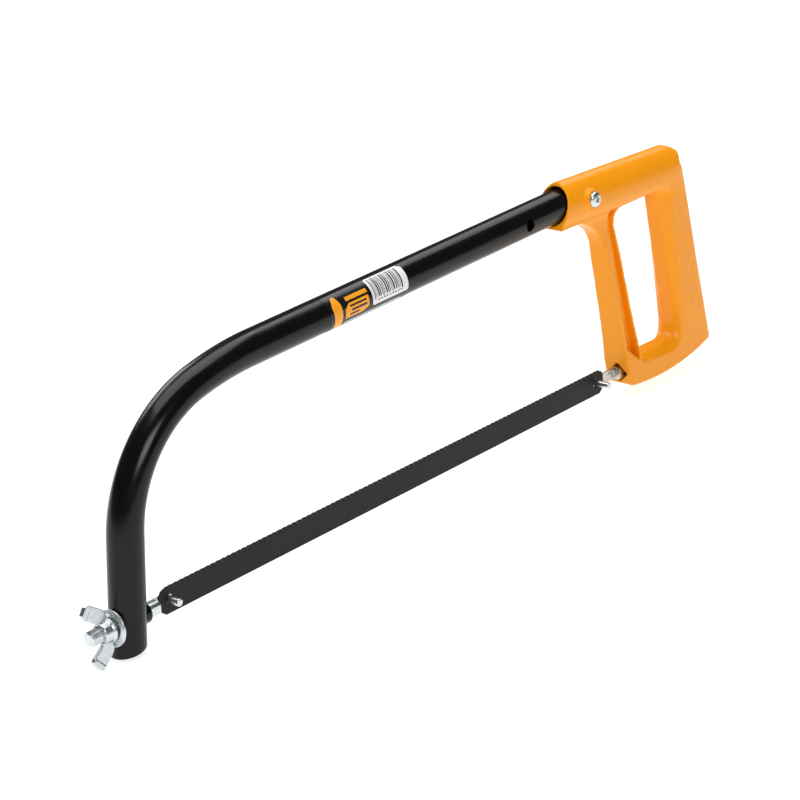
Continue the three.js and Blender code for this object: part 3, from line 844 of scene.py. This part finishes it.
def tension_washer():
    """The washer lies flat against the leaning leg."""
    radius, bore, thick = WASHER["radius"], WASHER["bore"], WASHER["thick"]
    profile = [(bore, 0), (bore, 0.1 - thick), (bore + 0.1, -thick), (radius - 2.2, -thick)]
    profile += curve(profile[-1], (radius - 1.3, 0.02 - thick), (radius - 1.0, 0.25 - thick), steps=6)
    profile += curve(profile[-1], (radius, 0.3 - thick), (radius, 0.85 - thick), steps=8)
    profile += [(radius, -0.15), (radius - 0.15, 0)]
    washer = turned(profile, "X", (0, 0), 128)
    place = Matrix.Translation((WASHER["rear"], 0, 0)) @ Matrix.Rotation(math.radians(TUBE["lean"]), 4, "Y")
    washer.data.transform(place)
    finished(washer, "washer_rounded", "frame", ZINC, "zinc_plate", "tension_washer", sharp=40)


def wing_nut():
    """Two bent wings with a bead along their tips, rising from a turned hub. Drawn with +Y up the nut."""
    hub, neck, height, bore, wing = (NUT[key] for key in ("hub", "neck", "height", "bore", "wing"))
    profile = [(bore, 0), (hub + 0.5, 0), (hub + 0.5, 0.9), (hub, 1.4), (neck, height - 0.6)]
    profile += [(neck - 0.6, height), (bore + 0.5, height), (bore, height - 0.5)]
    nut = turned(profile, "Y", (0, 0))
    outline = [(4.1, 0.3), (8.0, 0.3)] + curve((8.0, 0.3), (9.7, 1.4), (10.7, 3.0), steps=6)
    outline += [(13.7, 7.3)] + curve((13.7, 7.3), (14.6, 8.7), (13.4, 9.7), steps=6)
    outline += [(10.9, 11.8)] + curve((10.9, 11.8), (9.5, 12.6), (8.5, 11.5), steps=6) + [(4.1, 4.9)]
    bead = [(13.1, 7.1), (14.4, 8.2), (13.7, 9.7), (10.9, 12.1), (9.5, 12.2), (8.7, 10.9)]
    wings = []
    for side in (1, -1):
        for points, thick in ((outline, wing), (bead, wing + 0.7)):
            wings.append(loft([[(side * u, v, z) for u, v in points] for z in (-thick / 2, thick / 2)]))
    joined(nut, *wings)
    cut(nut, rod(bore, -1, 20, "Y", (0, 0), 96))
    remeshed(nut, 0.2, 6)
    place = Matrix.Translation((NUT["seat"], 0, 0))
    turn = Matrix.Rotation(math.radians(90 - NUT["turned_by"]), 4, "X")
    nut.data.transform(place @ turn @ Matrix.Rotation(math.pi / 2, 4, "Z"))
    finished(nut, "wing_nut_forged", "wing_nut", ZINC, "zinc_plate", "wing_nut")


# ---------- blade ----------
BLADE_START, BLADE_END = -BLADE["overhang"], BLADE["span"] + BLADE["overhang"]
TOOTH_ROOT = BLADE["half"] - TEETH["depth"]
# millimetres below the teeth's roots, and at least below the upper edge, with the share of the wave set there
BLADE_LEVELS = [(1.3, 0.4, 0), (1.1, 0.3, 0), (0.5, 0.2, 0.35), (0.1, 0.1, 0.8)]


def blade_columns():
    """The blade's outline as (x, lower z, upper z): cut corners at both ends and teeth between them."""
    half, corner, pitch, depth = BLADE["half"], BLADE["corner"], TEETH["pitch"], TEETH["depth"]
    ends = [(0, corner, 0), (corner * 0.35, corner * 0.45, 0), (corner, 0, depth * 0.6)]
    columns = [(BLADE_START + dx, off - half, half - off - lower) for dx, off, lower in ends]
    for i in range(int((BLADE_END - BLADE_START - 2 * corner - 0.4) / pitch)):
        x = BLADE_START + corner + 0.3 + i * pitch
        columns += [(x, -half, TOOTH_ROOT), (x + pitch * 0.35, -half, TOOTH_ROOT + depth * 0.28)]
        columns += [(x + pitch * 0.86, -half, half), (x + pitch * 0.93, -half, half - depth * 0.55)]
    return columns + [(BLADE_END - dx, off - half, half - off - lower) for dx, off, lower in reversed(ends)]


def blade_side(bm, y):
    """One face of the blade, as columns of points. The wave set fades out below the teeth and at the ends."""
    corner, fade = BLADE["corner"], 3
    rows = []
    for x, low, high in blade_columns():
        ease = ramp(x - BLADE_START, corner, corner + fade) * ramp(BLADE_END - x, corner, corner + fade)
        shift = TEETH["set"] * math.sin(2 * math.pi * x / TEETH["wave"]) * ease
        levels = [(low, 0)]
        levels += [(min(TOOTH_ROOT - a, high - b), share) for a, b, share in BLADE_LEVELS]
        levels.append((high, 1))
        rows.append([bm.verts.new((x, y + shift * share, z)) for z, share in levels])
    return rows


def saw_blade():
    """A flat strip whose toothed upper edge is set in a wave from side to side."""
    near, thick = BLADE["near"], BLADE["thick"]
    bm = bmesh.new()
    sides = [blade_side(bm, y) for y in (near, near + thick)]
    top = len(sides[0][0]) - 1
    for rows in sides:
        for a, b in zip(rows, rows[1:]):
            for k in range(top):
                bm.faces.new((a[k], b[k], b[k + 1], a[k + 1]))
    front, back = sides
    for (a, b), (c, d) in zip(zip(front, front[1:]), zip(back, back[1:])):
        bm.faces.new((a[0], b[0], d[0], c[0]))
        bm.faces.new((a[top], b[top], d[top], c[top]))
    for row_a, row_b in ((front[0], back[0]), (front[-1], back[-1])):
        for k in range(top):
            bm.faces.new((row_a[k], row_a[k + 1], row_b[k + 1], row_b[k]))
    blade = new_object(bm)
    cut(blade, *[rod(BLADE["hole"], near - 1, near + 2, "Y", (x, 0)) for x in (0, BLADE["span"])])
    finished(blade, "blade_toothed", "blade", CHARCOAL, "blade_enamel", "saw_blade", sharp=30)


# ---------- tube label ----------
def film(name, patches, low, high, material, nodes=()):
    """Thin films on the tube. Each patch is rows of (angle above the near side, left x, right x)."""
    middle = Matrix.Translation((AXIS_AT_MIDDLE[0], 0, AXIS_AT_MIDDLE[1]))
    tilt = middle @ Matrix.Rotation(-math.radians(TUBE["slope"]), 4, "Y")
    bm = bmesh.new()
    for rows in patches:
        grid = []
        for angle, left, right in rows:
            a = math.radians(angle)
            columns = []
            for x in (left, right):
                for radius in (low, high):
                    point = Vector((x - AXIS_AT_MIDDLE[0], -radius * math.cos(a), radius * math.sin(a)))
                    columns.append(bm.verts.new(tilt @ point))
            grid.append(columns)
        for a, b in zip(grid, grid[1:]):
            bm.faces.new((a[1], a[3], b[3], b[1]))
            bm.faces.new((a[0], b[0], b[2], a[2]))
            bm.faces.new((a[0], a[1], b[1], b[0]))
            bm.faces.new((a[2], b[2], b[3], a[3]))
        for row in (grid[0], grid[-1]):
            bm.faces.new((row[0], row[2], row[3], row[1]))
    finished(new_object(bm, name), name, "frame", material, "label_film", *nodes, sharp=40)


def patch(low, high, left, right):
    """Rows between two angles, with edges that are numbers or lists of (angle, x) to run through."""

    def edge(side, angle):
        if not isinstance(side, list):
            return side
        for (a0, x0), (a1, x1) in zip(side, side[1:]):
            if angle <= a1:
                return x0 + (x1 - x0) * max(0, angle - a0) / (a1 - a0)
        return side[-1][1]

    step = 2.0
    count = max(1, round((high - low) / step))
    angles = [low + (high - low) * i / count for i in range(count + 1)]
    return [(angle, edge(left, angle), edge(right, angle)) for angle in angles]


def panel_bars():
    """Rows of bars on the white panel, and short rules on the orange block."""
    bars = []
    x = 131.0
    for i in range(19):
        width = (0.45, 0.27, 0.63, 0.3, 0.8)[i * 3 % 5]
        bars.append(patch(-4 if i % 6 == 0 else 2, 70, x, x + width))
        x += width + (0.42, 0.7, 0.5)[i % 3]
    bars += [patch(-9, -5, 133 + 1.9 * i, 134.1 + 1.9 * i) for i in range(9)]
    return bars + [patch(10, 16, 114.8, 125.6), patch(-4, 3, 115.6, 125.6), patch(-16, -10, 114.2, 120.4)]


def tube_label():
    """Generic print: a band, a block and a panel of bars, with rules in place of words."""
    base, top, ink, over = (FILM[key] for key in ("base", "top", "ink", "over"))
    sheet = patch(LABEL["low"], LABEL["high"], LABEL["from"], LABEL["to"])
    film("label_base", [sheet], base, top, FILM_BLACK, ("tube_label",))
    panel = [(-20, 130.4), (-16, 129.6), (70, 129.5), (75, 130.4)]
    panel_end = [(-20, 152.6), (-16, 153.5), (62, 153.6), (75, 151.2)]
    rule = patch(-41, -37.5, 111.8, 149)
    film("label_panel", [patch(-20, 75, panel, panel_end), rule], top, ink, FILM_WHITE)
    band_left = [(-63, 105.0), (30, 104.2), (62, 106.4)]
    band_right = [(-63, 109.6), (30, 109.8), (62, 108.4)]
    block_left = [(-23, 111.5), (8, 111.6), (24, 114.4)]
    block_right = [(-23, 123.0), (-12, 127.0), (24, 127.2)]
    bright = [patch(-63, 62, band_left, band_right), patch(-23, 24, block_left, block_right)]
    bright.append(patch(32, 46, 113.5, 127.4))
    film("label_orange", bright, top, ink, FILM_ORANGE)
    film("label_marks", panel_bars(), ink, over, FILM_BLACK)


PIECES = [frame_tube, handle, handle_screw, handle_nut, rear_holder, tension_bolt, holder_stud, cross_pin,
          guide_bush, tension_washer, wing_nut, saw_blade, tube_label]
for make in PIECES:
    make()
blade_pin(FRONT_PIN_X, PIN["front_tip"], "pin_front_blade", "tensioner", "front_blade_pin")
blade_pin(REAR_PIN_X, PIN["rear_tip"], "pin_rear_blade", "frame", "rear_blade_pin")


# ---------- floor, light and camera ----------
def floor():
    """A pale table, lit a little from below."""
    s = Surface("floor")
    s.set(Base_Color=s.mix(s.noise(0.4, 2), (0.45, 0.45, 0.45), (0.47, 0.47, 0.47)), Roughness=0.9)
    s.set(Specular_IOR_Level=0.0, Emission_Color=(1, 1, 1, 1), Emission_Strength=0.78)
    bm = bmesh.new()
    bmesh.ops.create_grid(bm, x_segments=4, y_segments=4, size=4)
    obj = new_object(bm, "floor")
    obj.data.materials.append(s.material)


def area_light(name, place, size, power):
    aim = Vector((0, 0, 0.06))
    light = bpy.data.lights.new(name, "AREA")
    light.shape = "RECTANGLE"
    light.size, light.size_y = size
    light.energy = power
    obj = bpy.data.objects.new(name, light)
    obj.location = place
    obj.rotation_euler = (aim - Vector(place)).to_track_quat("-Z", "Y").to_euler()
    bpy.context.scene.collection.objects.link(obj)


def studio():
    world = bpy.data.worlds.new("studio")
    world.use_nodes = True
    background = world.node_tree.nodes["Background"]
    background.inputs["Color"].default_value = (1, 1, 1, 1)
    background.inputs["Strength"].default_value = 0.08
    scene = bpy.context.scene
    scene.world = world
    scene.view_settings.view_transform = "Standard"
    area_light("overhead", (0.1, 0.25, 1.5), (1.6, 1.2), 22)
    area_light("key", (-0.95, -1.35, 1.15), (0.9, 0.7), 14)
    area_light("back", (0.3, 1.7, 1.0), (1.0, 0.8), 9)
    area_light("side", (1.35, 0.42, 1.35), (0.95, 0.8), 6)


def camera():
    """The view: 48 degrees to the left of the saw's side and 21 degrees above it, rolled by 4 degrees."""
    azimuth, elevation, roll = (math.radians(CAMERA[key]) for key in ("azimuth", "elevation", "roll"))
    back = Vector((math.sin(azimuth) * math.cos(elevation), -math.cos(azimuth) * math.cos(elevation),
                   math.sin(elevation)))
    right = Vector((math.cos(azimuth), math.sin(azimuth), 0))
    up = back.cross(right)
    tilted_right = right * math.cos(roll) + up * math.sin(roll)
    tilted_up = up * math.cos(roll) - right * math.sin(roll)
    data = bpy.data.cameras.new("camera")
    data.sensor_width = 36
    data.lens = 108
    data.clip_start = 0.05
    obj = bpy.data.objects.new("camera", data)
    turn = Matrix((tilted_right, tilted_up, back)).transposed().to_4x4()
    obj.matrix_world = Matrix.Translation(TO_SHARED_FRAME @ Vector(CAMERA["place"])) @ turn
    bpy.context.scene.collection.objects.link(obj)
    bpy.context.scene.camera = obj


floor()
studio()
camera()
